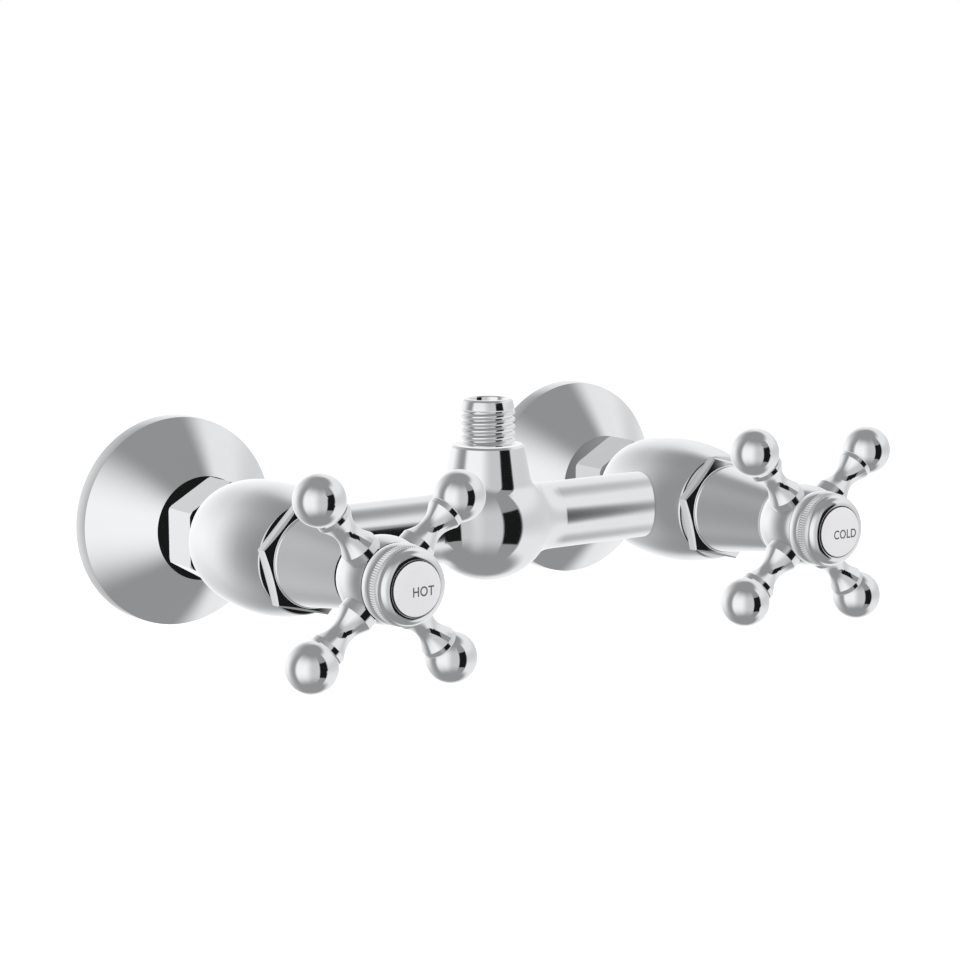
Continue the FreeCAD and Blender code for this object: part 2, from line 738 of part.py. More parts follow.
def outlet_body():
    drop = math.sqrt(BODY_ROUND_R ** 2 - BODY_ROUND_HALF ** 2)
    edge_r = BODY_R - BODY_ROUND_R + drop
    inner = BODY_ROUND_HALF + BODY_FLARE_INNER
    inner_r = edge_r - BODY_FLARE_INNER * BODY_ROUND_HALF / drop
    outer = BODY_HALF - BODY_FLARE_OUTER
    bell = turned(
        BRIDGE_ORIGIN, RIGHT,
        (-BODY_HALF, 0),
        (-BODY_HALF, BRIDGE_R),
        [(-outer, BRIDGE_R), (-inner, inner_r), (-BODY_ROUND_HALF, edge_r)],
        [(0, BODY_R), (BODY_ROUND_HALF, edge_r)],
        [(inner, inner_r), (outer, BRIDGE_R), (BODY_HALF, BRIDGE_R)],
        (BODY_HALF, 0),
    )
    neck = turned(
        BRIDGE_ORIGIN, UP,
        (OUTLET_FOOT, 0),
        (OUTLET_FOOT, OUTLET_TOP_R + OUTLET_TAPER * (OUTLET_TOP - OUTLET_FOOT)),
        (OUTLET_TOP - OUTLET_EDGE, OUTLET_TOP_R + OUTLET_TAPER * OUTLET_EDGE),
        (OUTLET_TOP, OUTLET_TOP_R - OUTLET_EDGE),
        (OUTLET_TOP, 0),
    )
    solid = bell.fuse(neck)
    seams = []
    for edge in solid.Edges:
        box = edge.BoundBox
        slants = min(box.XLength, box.YLength, box.ZLength) > OUTLET_FOOT
        if slants and box.ZMin > 0:
            seams.append(edge)
    solid = solid.makeFillet(OUTLET_FILLET, seams)
    through = Part.makeCylinder(BRIDGE_BORE_R, 2 * BODY_HALF, BRIDGE_ORIGIN - RIGHT * BODY_HALF, RIGHT)
    cuts = [through]
    for aim in (RIGHT, RIGHT * -1):
        floor = BRIDGE_ORIGIN + aim * (body_spigot_end - END_PLAY)
        cuts.append(Part.makeCylinder(BRIDGE_SPIGOT_R + FIT_GAP, BODY_HALF, floor, aim))
    seal_floor = BRIDGE_ORIGIN + UP * (OUTLET_TOP - NIPPLE_SPIGOT_LENGTH - NIPPLE_SEAL_THICK)
    cuts.append(Part.makeCylinder(OUTLET_BORE_R, OUTLET_TOP, BRIDGE_ORIGIN, UP))
    cuts.append(Part.makeCylinder(NIPPLE_SPIGOT_R + FIT_GAP, OUTLET_TOP, seal_floor, UP))
    return solid.cut(cuts)


def outlet_nipple():
    base = OUTLET_TOP - NIPPLE_SPIGOT_LENGTH
    first = OUTLET_TOP + NIPPLE_RELIEF
    flank = (NIPPLE_PITCH - NIPPLE_CREST) / 2
    ridges = []
    for number in range(NIPPLE_RIDGES):
        foot = first + NIPPLE_PITCH * number
        ridges += [
            (foot, NIPPLE_ROOT_R),
            (foot + flank, NIPPLE_THREAD_R),
            (foot + flank + NIPPLE_CREST, NIPPLE_THREAD_R),
        ]
    top = first + NIPPLE_PITCH * NIPPLE_RIDGES
    return turned(
        BRIDGE_ORIGIN, UP,
        (base, NIPPLE_BORE_R),
        (base, NIPPLE_SPIGOT_R),
        (OUTLET_TOP, NIPPLE_SPIGOT_R),
        (OUTLET_TOP, NIPPLE_ROOT_R),
        *ridges,
        (top, NIPPLE_ROOT_R),
        (top + NIPPLE_LEAD_RISE, NIPPLE_LEAD_R),
        (top + NIPPLE_LEAD_SHOULDER, NIPPLE_LEAD_FRONT_R),
        (top + NIPPLE_LEAD, NIPPLE_TOP_R),
        (top + NIPPLE_LEAD, NIPPLE_BORE_R),
    )


def outlet_nipple_seal():
    floor = OUTLET_TOP - NIPPLE_SPIGOT_LENGTH - NIPPLE_SEAL_THICK
    return turned(
        BRIDGE_ORIGIN, UP,
        (floor, OUTLET_BORE_R),
        (floor, NIPPLE_SPIGOT_R),
        (floor + NIPPLE_SEAL_THICK, NIPPLE_SPIGOT_R),
        (floor + NIPPLE_SEAL_THICK, OUTLET_BORE_R),
    )


def save(node, *solids):
    """Write one node, and print what it holds."""
    shape = solids[0] if len(solids) == 1 else Part.makeCompound(list(solids))
    if not shape.isValid():
        raise ValueError(node + " is not a valid solid")
    shape.exportStep("parts/" + node + ".step")
    print(node, len(shape.Solids), "solid,", round(shape.Volume), "mm3")


# Pieces that are the same on both sides, made on the valve axis at x = 0
VALVE_PIECES = [
    wall_flange, flange_o_ring, inlet_leg, union_nut, union_washer, inlet_tailpiece,
    headwork_body, headwork_o_ring, seat_seal, fixed_disc, moving_disc,
    spindle, spindle_o_ring, spindle_circlip, bonnet_sleeve,
    cross_handle, handle_screw, index_cap, index_disc,
]

for make in VALVE_PIECES:
    piece = make()
    for side, x in (("hot", -valve_x), ("cold", valve_x)):
        save(side + "_" + make.__name__, piece.translated(RIGHT * x))

# Pieces that face the middle of the bridge
for side, sign in (("hot", -1), ("cold", 1)):
    save(side + "_valve_barrel", valve_barrel(-sign).translated(RIGHT * (sign * valve_x)))
    save(side + "_bridge_tube", bridge_tube(RIGHT * sign))
    save(side + "_bridge_o_rings", *bridge_o_rings(RIGHT * sign))

save("outlet_body", outlet_body())
save("outlet_nipple", outlet_nipple())
save("outlet_nipple_seal", outlet_nipple_seal())
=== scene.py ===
# %% [markdown]
# # A chrome shower mixer with two cross handles
# The mixer hangs on a wall by two round flanges. Each side has a valve with a cross handle, and a bridge
# joins the valves to an outlet with a thread on top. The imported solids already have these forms, so this
# lesson gives them their finishes, cuts the threads and the knurling that turning alone can't give, turns
# finer rims for the flanges and discs, prints the two words, and sets up a small photo studio. Everything
# is in metres, with the wall at y = 0, the room towards -y and z up. Sizes of pieces are written in mm.

# %% The frame
import json
import math

import bmesh
import bpy
import numpy as np
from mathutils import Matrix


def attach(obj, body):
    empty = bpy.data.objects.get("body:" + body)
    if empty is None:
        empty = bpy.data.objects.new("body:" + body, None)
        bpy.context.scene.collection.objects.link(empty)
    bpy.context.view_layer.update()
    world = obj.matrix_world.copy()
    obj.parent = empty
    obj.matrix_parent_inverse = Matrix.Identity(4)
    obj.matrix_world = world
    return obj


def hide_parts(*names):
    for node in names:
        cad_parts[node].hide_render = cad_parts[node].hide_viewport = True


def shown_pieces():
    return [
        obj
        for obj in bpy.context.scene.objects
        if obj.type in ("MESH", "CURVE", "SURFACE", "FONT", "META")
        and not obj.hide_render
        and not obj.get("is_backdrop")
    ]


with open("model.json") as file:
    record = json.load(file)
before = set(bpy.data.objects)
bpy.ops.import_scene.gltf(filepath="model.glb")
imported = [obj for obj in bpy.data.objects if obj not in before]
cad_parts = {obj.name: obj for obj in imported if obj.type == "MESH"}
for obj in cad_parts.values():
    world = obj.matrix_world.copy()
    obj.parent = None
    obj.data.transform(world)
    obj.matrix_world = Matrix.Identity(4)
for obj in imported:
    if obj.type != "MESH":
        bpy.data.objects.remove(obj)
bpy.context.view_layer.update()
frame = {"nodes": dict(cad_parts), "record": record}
nodes = frame["nodes"]
MM = 0.001

# %% [markdown]
# ## Colours and nodes
# Colours are written as the sRGB hex values that a colour picker shows. Blender's shaders count in linear
# light, so one function turns each value over. A second function adds one shader node: plain values go
# on its sockets, and an output of another node is linked instead.

# %% Colour and node helpers
def linear(hex_colour):
    """sRGB to linear light: a channel c becomes c / 12.92 up to 0.04045,
    and ((c + 0.055) / 1.055) ^ 2.4 above."""
    channels = np.array([int(hex_colour[start:start + 2], 16) for start in (1, 3, 5)]) / 255
    curve = ((channels + 0.055) / 1.055) ** 2.4
    return (*np.where(channels <= 0.04045, channels / 12.92, curve).tolist(), 1.0)


def add(tree, kind, inputs=None, **settings):
    """Add one node. Settings go on the node itself; inputs go on its sockets, by name or number."""
    made = tree.nodes.new(kind)
    for name, value in settings.items():
        setattr(made, name, value)
    for name, value in (inputs or {}).items():
        if isinstance(value, bpy.types.NodeSocket):
            tree.links.new(value, made.inputs[name])
        else:
            made.inputs[name].default_value = value
    return made


def new_material(name, **shader):
    """A material with one Principled shader, whose constant sockets are set here.
    Returns material, tree, shader."""
    material = bpy.data.materials.new(name)
    material.use_nodes = True
    tree = material.node_tree
    principled = tree.nodes["Principled BSDF"]
    for socket, value in shader.items():
        principled.inputs[socket.replace("_", " ")].default_value = value
    return material, tree, principled


print("chrome grey in linear light:", [round(c, 3) for c in linear("#E4E6E8")])

# %% [markdown]
# ## Polished chrome plate
# Nearly everything that shows is brass, polished and then plated with nickel and chrome. Chrome is a mirror
# with a slightly cold grey colour. What tells it from a computer's perfect mirror is the polishing below the
# plate: a haze of mop marks that makes some patches a little softer than others, and a waviness that makes
# straight reflections swim a little. Both are noise on Object coordinates. The mop marks of a real tap are
# about 0.2 mm wide, too fine for this picture, so they are drawn 0.9 mm wide. The narrow gaps between pieces
# see nothing but one another, and that shade is painted into the plate's colour: it darkens where something
# stands closer than a millimetre.

# %% Chrome
MOP_MARK = 0.9 * MM
WAVE = 14 * MM
WAVE_DEPTH = 0.004 * MM
BRIGHT_ROUGHNESS, HAZY_ROUGHNESS = 0.035, 0.075
GAP_REACH = 1.0 * MM
GAP_SHADE = 0.45


def chrome_plate(name):
    """Polished chrome: roughness from mop marks, a waviness in the bump, and painted shade in narrow gaps,
    darkening the base colour.
    """
    material, tree, shader = new_material(name, Metallic=1.0)
    place = add(tree, "ShaderNodeTexCoord").outputs["Object"]
    marks = add(tree, "ShaderNodeTexNoise",
                {"Vector": place, "Scale": 1 / MOP_MARK, "Detail": 3.0, "Roughness": 0.6})
    wave = add(tree, "ShaderNodeTexNoise", {"Vector": place, "Scale": 1 / WAVE, "Detail": 1.0})
    haze = add(tree, "ShaderNodeMapRange",
               {"Value": marks.outputs["Fac"], "From Min": 0.3, "From Max": 0.7,
                "To Min": BRIGHT_ROUGHNESS, "To Max": HAZY_ROUGHNESS})
    tone = add(tree, "ShaderNodeMix",
               {"Factor": wave.outputs["Fac"], "A": linear("#E2E4E7"), "B": linear("#E9EAEB")},
               data_type="RGBA")
    bump = add(tree, "ShaderNodeBump",
               {"Height": wave.outputs["Fac"], "Strength": 1.0, "Distance": WAVE_DEPTH})
    # Painted shade: ambient occlusion within GAP_REACH darkens the plate's base colour in narrow gaps.
    painted_gap_shade = add(tree, "ShaderNodeAmbientOcclusion",
              {"Color": tone.outputs["Result"], "Distance": GAP_REACH}, samples=8)
    shade = add(tree, "ShaderNodeMix",
                {"Factor": GAP_SHADE, "A": tone.outputs["Result"], "B": painted_gap_shade.outputs["Color"]},
                data_type="RGBA")
    tree.links.new(haze.outputs["Result"], shader.inputs["Roughness"])
    tree.links.new(shade.outputs["Result"], shader.inputs["Base Color"])
    tree.links.new(bump.outputs["Normal"], shader.inputs["Normal"])
    return material


chrome = chrome_plate("polished_chrome_plate")
print("made", chrome.name)

# %% [markdown]
# ## The metals and seals inside
# Where the plating stops there is plain brass, turned on a lathe, so it has fine rings round the valve axis
# and a warm yellow. The screw and the clip are stainless steel. The valve discs are lapped alumina, almost
# white and matt. Rubber seals are black with a dull moulded skin, and the union washers are pressed red
# fibre, mottled like cardboard.

# %% Inner materials
LATHE_PITCH = 0.35 * MM
GRIT = 0.25 * MM
FIBRE = 0.8 * MM


def grained(name, dark, light, size, roughness, bump_depth, stretch=(1, 1, 1), **shader):
    """One noise of the given size in metres, stretched along the axes, mixes two colours
    and raises a bump."""
    material, tree, principled = new_material(name, Roughness=roughness, **shader)
    place = add(tree, "ShaderNodeTexCoord").outputs["Object"]
    grain_place = add(tree, "ShaderNodeMapping", {"Vector": place, "Scale": stretch})
    grain = add(tree, "ShaderNodeTexNoise",
                {"Vector": grain_place.outputs["Vector"], "Scale": 1 / size, "Detail": 4.0})
    tone = add(tree, "ShaderNodeMix",
               {"Factor": grain.outputs["Fac"], "A": linear(dark), "B": linear(light)}, data_type="RGBA")
    bump = add(tree, "ShaderNodeBump",
               {"Height": grain.outputs["Fac"], "Strength": 1.0, "Distance": bump_depth})
    tree.links.new(tone.outputs["Result"], principled.inputs["Base Color"])
    tree.links.new(bump.outputs["Normal"], principled.inputs["Normal"])
    return material


ALONG_LATHE = (0.05, 1, 0.05)
finishes = {
    "chrome": chrome,
    "brass": grained("turned_brass", "#B8924C", "#DDBE7E", LATHE_PITCH, 0.28, 0.01 * MM,
                     ALONG_LATHE, Metallic=1.0),
    "steel": grained("stainless_steel", "#8F9193", "#B9BBBD", LATHE_PITCH, 0.32, 0.01 * MM, Metallic=1.0),
    "ceramic": grained("lapped_alumina", "#EAE7DE", "#F4F2EC", GRIT, 0.35, 0.002 * MM, IOR=1.76),
    "rubber": grained("moulded_rubber", "#121212", "#232323", GRIT, 0.62, 0.02 * MM, IOR=1.52),
    "fibre": grained("pressed_red_fibre", "#6E2A1C", "#9A4630", FIBRE, 0.85, 0.06 * MM, IOR=1.5),
}
print("made", [material.name for material in finishes.values()])

# %% [markdown]
# ## Printed discs
# The caps hold a white disc with the word for its side in dark grey. The disc is gloss plastic: a white body
# that is a touch cool, a clear gloss, and the faint cloudiness of a moulding. The print is a thin film of
# ink that lies on it, less glossy than the disc.

# %% Disc and ink
CLOUD = 5 * MM
INK_GRAIN = 0.3 * MM
finishes["index_white"] = grained("white_gloss_plastic", "#EEEDF0", "#F5F4F6", CLOUD, 0.16, 0.002 * MM,
                                  IOR=1.49)
ink = grained("printed_grey_ink", "#55575B", "#66686C", INK_GRAIN, 0.45, 0.003 * MM, IOR=1.5)
print("made", finishes["index_white"].name, ink.name)

# %% [markdown]
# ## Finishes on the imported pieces
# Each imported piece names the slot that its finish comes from, so one loop dresses them all. A line for each
# piece would do the same, but this way no piece can be forgotten.

# %% Dress the pieces
for part in frame["record"]["subparts"]:
    for slot in nodes[part["node"]].material_slots:
        slot.material = finishes[part["material_slot"]]

# %% [markdown]
# ## Turned shapes as grids
# A lathe makes a shape that a profile describes: how far along the axis, and how far out. Carried round the
# axis, the profile becomes a grid of points with one row per profile point. One function places such points
# in space, one turns a grid into a mesh, and one does both for a piece on a valve's axis. The last column
# joins the first; where rows meet the axis or one another, doubled points are merged, so that the skin is
# closed.

# %% Grid helpers
SHARP_OVER = math.radians(40)
MERGE_WITHIN = 0.002 * MM
SLIVER = 0.001 * MM
OUT_OF_WALL = (np.array([0.0, -1, 0]), np.array([1.0, 0, 0]), np.array([0.0, 0, 1]))
UPWARD = (np.array([0.0, 0, 1]), np.array([1.0, 0, 0]), np.array([0.0, 1, 0]))


def turns(columns):
    """Angles of the columns: equal steps of a full turn, in radians."""
    return np.arange(columns) * (2 * math.pi / columns)


def carried(origin, axes, along, radius, angle):
    """Points at origin + axis * along + (side * cos(angle) + other * sin(angle)) * radius, lengths in mm."""
    axis, side, other = axes
    along, radius, angle = (values[..., None] for values in np.broadcast_arrays(along, radius, angle))
    return np.asarray(origin) + (axis * along + (side * np.cos(angle) + other * np.sin(angle)) * radius) * MM


def quads(grid):
    """Corner numbers of the faces between neighbours of a grid of point numbers."""
    return np.stack([grid[:-1, :-1], grid[1:, :-1], grid[1:, 1:], grid[:-1, 1:]], axis=-1).reshape(-1, 4)


def piece(name, points, faces, material, slot, body, *replaced):
    """Mesh object of one closed skin: doubles merged, normals outwards, smooth but for sharp edges."""
    mesh = bpy.data.meshes.new(name)
    mesh.from_pydata(points.reshape(-1, 3).tolist(), [], faces.tolist())
    skin = bmesh.new()
    skin.from_mesh(mesh)
    bmesh.ops.remove_doubles(skin, verts=skin.verts, dist=MERGE_WITHIN)
    bmesh.ops.dissolve_degenerate(skin, edges=skin.edges, dist=SLIVER)
    bmesh.ops.recalc_face_normals(skin, faces=skin.faces)
    open_edges = sum(not edge.is_manifold for edge in skin.edges)
    skin.to_mesh(mesh)
    skin.free()
    mesh.shade_smooth()
    mesh.set_sharp_from_angle(angle=SHARP_OVER)
    mesh.materials.append(material)
    made = bpy.data.objects.new(name, mesh)
    bpy.context.scene.collection.objects.link(made)
    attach(made, body)
    if replaced:
        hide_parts(*replaced)
    print(name, len(mesh.polygons), "faces,", open_edges, "open edges")


def wrapped(rows, columns, closed_rows):
    """Point numbers of a rows by columns grid, with the first column repeated at the end,
    and the first row too where the rows close."""
    grid = np.arange(rows * columns).reshape(rows, columns)
    grid = np.concatenate([grid, grid[:, :1]], axis=1)
    return np.concatenate([grid, grid[:1]], axis=0) if closed_rows else grid


def turned(name, x, profile, columns, finish, body, *replaced, cut=0.0):
    """A piece turned about the valve axis at x: the profile's radius, less a cut, at each column's angle.
    A profile that doesn't start on the axis closes on itself, as a ring does."""
    along, radius = np.array(profile).T[:, :, None]
    points = carried((x * MM, 0, 0), OUT_OF_WALL, along, radius - cut, turns(columns)[None, :])
    faces = quads(wrapped(len(profile), columns, closed_rows=profile[0][1] > 0))
    piece(name, points, faces, finishes[finish], finish, body, *replaced)


def arc(start, middle, end, steps):
    """Points on the circle through three (along, radius) points, from just after start up to end."""
    (ax, ay), (bx, by), (cx, cy) = start, middle, end
    a_square, b_square, c_square = ax ** 2 + ay ** 2, bx ** 2 + by ** 2, cx ** 2 + cy ** 2
    double = 2 * (ax * (by - cy) + bx * (cy - ay) + cx * (ay - by))
    ux = (a_square * (by - cy) + b_square * (cy - ay) + c_square * (ay - by)) / double
    uy = (a_square * (cx - bx) + b_square * (ax - cx) + c_square * (bx - ax)) / double
    first = math.atan2(ay - uy, ax - ux)
    sweep = math.atan2(cy - uy, cx - ux) - first
    between = math.atan2(by - uy, bx - ux) - first
    if (between % (2 * math.pi)) > (sweep % (2 * math.pi)):
        sweep = sweep % (2 * math.pi) - 2 * math.pi
    else:
        sweep = sweep % (2 * math.pi)
    angle = first + sweep * np.arange(1, steps + 1) / steps
    size = math.hypot(ax - ux, ay - uy)
    return np.stack([ux + size * np.cos(angle), uy + size * np.sin(angle)], axis=1).tolist()


print("quarter circle ends at", arc((1, 0), (math.sqrt(0.5), math.sqrt(0.5)), (0, 1), 4)[-1])

# %% [markdown]
# ## Threads
# A thread is a ridge that climbs by its pitch in one turn. A stack of rings would be simpler, but a thread's
# ridges lean and run out at the ends, and that is what the eye knows it by. Here every column of the grid
# is slid up by its share of the pitch, so the rows follow the ridge exactly; after a full turn a row meets
# the row one pitch above it, and the seam joins the grid to itself with that shift. A cone at each end cuts
# the ridge down to the core, as a die and a chamfering tool do. Crests and roots are flat, with flanks
# between, which a cosine gives when it is made too tall and then clipped.

# %% Thread
STEPS_PER_PITCH = 14
SPARE_PITCHES = 4
RIDGE_SWING = 0.7
THREAD_COLUMNS = 144


def thread(origin, axes, low, high, root, crest, pitch, low_run, high_run, columns, phase, first):
    """Helical skin between two heights. Height over the core is 0.5 - 0.7 cos(2 pi x), clipped to 0 and 1,
    with x the share of a pitch along the column, slid by angle / (2 pi) pitches and by the phase;
    end cones limit it."""
    steps = STEPS_PER_PITCH
    rows = (int((high - low) / pitch) + SPARE_PITCHES) * steps
    angle = turns(columns)[None, :]
    share = np.arange(rows)[:, None] / steps - SPARE_PITCHES / 2 + angle / (2 * math.pi) + phase
    height = np.clip(low + share * pitch, low, high)
    x = (height - low) / pitch - angle / (2 * math.pi) - phase
    ridge = root + (crest - root) * np.clip(0.5 - RIDGE_SWING * np.cos(2 * math.pi * x), 0, 1)
    cone_low = root + (crest - root) * np.clip((height - low) / low_run, 0, 1)
    cone_high = root + (crest - root) * np.clip((high - height) / high_run, 0, 1)
    points = carried(origin, axes, height, np.minimum(ridge, np.minimum(cone_low, cone_high)), angle)
    number = np.arange(first, first + rows * columns).reshape(rows, columns)
    faces = quads(number)
    seam = np.stack([number[:-steps, -1], number[steps:, 0]], axis=1)
    return points.reshape(-1, 3), np.concatenate([faces, quads(seam)])


def threaded(name, origin, axes, profile, screw, replaced):
    """A chrome piece whose profile has one gap, between its last and first point, where the thread goes."""
    along, radius = np.array(profile).T[:, :, None]
    plain = carried(origin, axes, along, radius, turns(THREAD_COLUMNS)[None, :]).reshape(-1, 3)
    plain_faces = quads(wrapped(len(profile), THREAD_COLUMNS, closed_rows=False))
    screw_points, screw_faces = thread(origin, axes, columns=THREAD_COLUMNS, first=len(plain), **screw)
    piece(name, np.concatenate([plain, screw_points]), np.concatenate([plain_faces, screw_faces]),
          chrome, "chrome", "mixer_body", replaced)


print("a thread has", STEPS_PER_PITCH, "rows to a pitch and", THREAD_COLUMNS, "columns to a turn")

# %% [markdown]
# ## Outlet nipple
# The nipple on top of the outlet takes the hose or riser pipe. It is turned from one bar: a spigot that
# sits in the body, a short relief, the thread, a plain lead at the top with a rounded rim, and the bore
# down the middle.

# %% Nipple
BRIDGE_OUT = 61.5
NIPPLE_FOOT, NIPPLE_SHOULDER, NIPPLE_TOP = 14.2, 24.0, 37.9
NIPPLE_ROOT, NIPPLE_CREST, NIPPLE_BORE, NIPPLE_SPIGOT = 7.45, 8.331, 5.5, 7.5
THREAD_LOW, THREAD_HIGH = 24.3, 34.5
LEAD_LOW, LEAD_LOW_R, LEAD_HIGH, LEAD_HIGH_R = 34.9, 8.2, 37.15, 7.7
NIPPLE_RIM_MIDDLE, NIPPLE_TOP_R = (37.68, 7.32), 6.7
MOUTH_R, MOUTH_MIDDLE, MOUTH_LOW = 6.0, (37.75, 5.65), 37.4
nipple_profile = [
    (THREAD_HIGH, NIPPLE_ROOT),
    (LEAD_LOW, LEAD_LOW_R),
    (LEAD_HIGH, LEAD_HIGH_R),
    *arc((LEAD_HIGH, LEAD_HIGH_R), NIPPLE_RIM_MIDDLE, (NIPPLE_TOP, NIPPLE_TOP_R), 8),
    (NIPPLE_TOP, MOUTH_R),
    *arc((NIPPLE_TOP, MOUTH_R), MOUTH_MIDDLE, (MOUTH_LOW, NIPPLE_BORE), 6),
    (NIPPLE_FOOT, NIPPLE_BORE),
    (NIPPLE_FOOT, NIPPLE_SPIGOT),
    (NIPPLE_SHOULDER, NIPPLE_SPIGOT),
    (NIPPLE_SHOULDER, NIPPLE_ROOT),
    (THREAD_LOW, NIPPLE_ROOT),
]
nipple_screw = dict(low=THREAD_LOW, high=THREAD_HIGH, root=NIPPLE_ROOT, crest=NIPPLE_CREST, pitch=2.13,
                    low_run=0.6, high_run=0.4, phase=0.978)
threaded("outlet_nipple_threaded", (0, -BRIDGE_OUT * MM, 0), UPWARD, nipple_profile, nipple_screw,
         "outlet_nipple")

# %% [markdown]
# ## Inlet legs
# Behind each flange a leg screws into the wall. Its tail has a half-inch pipe thread, 14 turns to the inch,
# and in front of the wall it has a smooth collar that carries the flange's seal. Only the back view shows
# the tail.

# %% Legs
VALVES = {"hot": -75.0, "cold": 75.0}
LEG_TAIL, LEG_SHOULDER, LEG_COLLAR_FRONT, LEG_FRONT = -18.0, 1.0, 19.0, 30.5
LEG_CREST, LEG_ROOT, LEG_COLLAR_R, LEG_BORE = 10.478, 9.316, 13.0, 6.0
LEG_EDGE, LEG_EDGE_MIDDLE, LEG_CHAMFER = 0.4, 0.12, 1.2
leg_profile = [
    (0.0, LEG_ROOT),
    (LEG_SHOULDER, LEG_ROOT),
    (LEG_SHOULDER, LEG_COLLAR_R - LEG_EDGE),
    *arc((LEG_SHOULDER, LEG_COLLAR_R - LEG_EDGE),
         (LEG_SHOULDER + LEG_EDGE_MIDDLE, LEG_COLLAR_R - LEG_EDGE_MIDDLE),
         (LEG_SHOULDER + LEG_EDGE, LEG_COLLAR_R), 4),
    (LEG_COLLAR_FRONT, LEG_COLLAR_R),
    (LEG_COLLAR_FRONT, LEG_CREST),
    (LEG_FRONT - LEG_CHAMFER, LEG_CREST),
    (LEG_FRONT, LEG_CREST - LEG_CHAMFER),
    (LEG_FRONT, LEG_BORE),
    (LEG_TAIL + LEG_EDGE, LEG_BORE),
    (LEG_TAIL, LEG_BORE + LEG_EDGE),
    (LEG_TAIL, LEG_ROOT),
]
leg_screw = dict(low=LEG_TAIL, high=0.0, root=LEG_ROOT, crest=LEG_CREST, pitch=1.814,
                 low_run=1.2, high_run=1.0, phase=0.0)
for side, x in VALVES.items():
    threaded(side + "_inlet_leg_threaded", (x * MM, 0, 0), OUT_OF_WALL, leg_profile, leg_screw,
             side + "_inlet_leg")

# %% [markdown]
# ## Knurled index caps
# The cap in the middle of each handle unscrews by hand, so a band of it is knurled: straight teeth, pressed
# in by a wheel while the cap turned in the lathe. Behind the band is a smooth bead, and in front of it are a
# thin lip and a rolled bezel that holds the disc. The teeth could be a bump map, but they break the cap's
# outline, so they are cut into the grid: in the rows of the band the radius dips by a raised cosine of the
# angle, one dip per tooth.

# %% Caps
CAP_REAR, BEAD_FRONT, BAND_FRONT, LIP_FRONT, CAP_FRONT = 126.15, 129.85, 132.5, 133.7, 135.9
SKIRT_BACK, SKIRT_BORE, SKIRT_R = 122.65, 6.6, 8.0
BEAD_R, BEAD_MIDDLE, BEAD_FRONT_R = 10.95, (127.9, 11.3), 10.9
BAND_R, BAND_EDGE = 11.0, 0.25
GROOVE_R, LIP_R, LIP_HALF = 10.49, 10.74, 0.35
BEZEL_R, BEZEL_MIDDLE, BEZEL_END_R, BEZEL_EDGE = 10.29, (134.97, 9.72), 7.95, 0.1
RECESS_R, RECESS_FLOOR, RECESS_BACK = 7.76, 134.05, 132.65
TEETH = 96
TOOTH_DEPTH = 0.22
STEPS_PER_TOOTH = 6
CAP_COLUMNS = TEETH * STEPS_PER_TOOTH
behind_band = [
    (RECESS_BACK, 0.0),
    (RECESS_BACK, SKIRT_BORE),
    (SKIRT_BACK, SKIRT_BORE),
    (SKIRT_BACK, SKIRT_R),
    (CAP_REAR, SKIRT_R),
    (CAP_REAR, BEAD_R),
    *arc((CAP_REAR, BEAD_R), BEAD_MIDDLE, (BEAD_FRONT, BEAD_FRONT_R), 14),
]
band = [(BEAD_FRONT + BAND_EDGE, BAND_R), (BAND_FRONT - BAND_EDGE, BAND_R)]
front_of_band = [
    (BAND_FRONT, GROOVE_R),
    *arc((BAND_FRONT, GROOVE_R), (BAND_FRONT + LIP_HALF, LIP_R), (BAND_FRONT + 2 * LIP_HALF, GROOVE_R), 8),
    (LIP_FRONT, BEZEL_R),
    *arc((LIP_FRONT, BEZEL_R), BEZEL_MIDDLE, (CAP_FRONT, BEZEL_END_R), 16),
    (CAP_FRONT, RECESS_R + BEZEL_EDGE),
    (CAP_FRONT - BEZEL_EDGE, RECESS_R),
    (RECESS_FLOOR, RECESS_R),
    (RECESS_FLOOR, 0.0),
]
in_band = np.array([0] * len(behind_band) + [1] * len(band) + [0] * len(front_of_band))[:, None]
tooth = TOOTH_DEPTH * (0.5 - 0.5 * np.cos(turns(CAP_COLUMNS) * TEETH))[None, :]
for side, x in VALVES.items():
    turned(side + "_index_cap_knurled", x, behind_band + band + front_of_band, CAP_COLUMNS, "chrome",
           side + "_handle", side + "_index_cap", cut=in_band * tooth)

# %% [markdown]
# ## Wall flanges
# In the photograph each flange has one light band round its rim. So the rim is turned here as a nearly
# straight band, 5 mm deep, with a cone from there to the front; the front, the leg's hole and the collar
# inside are those of the solid. Two extra rows close to each end of the cone keep its edges crisp, where
# smooth shading would blur one face into the next.

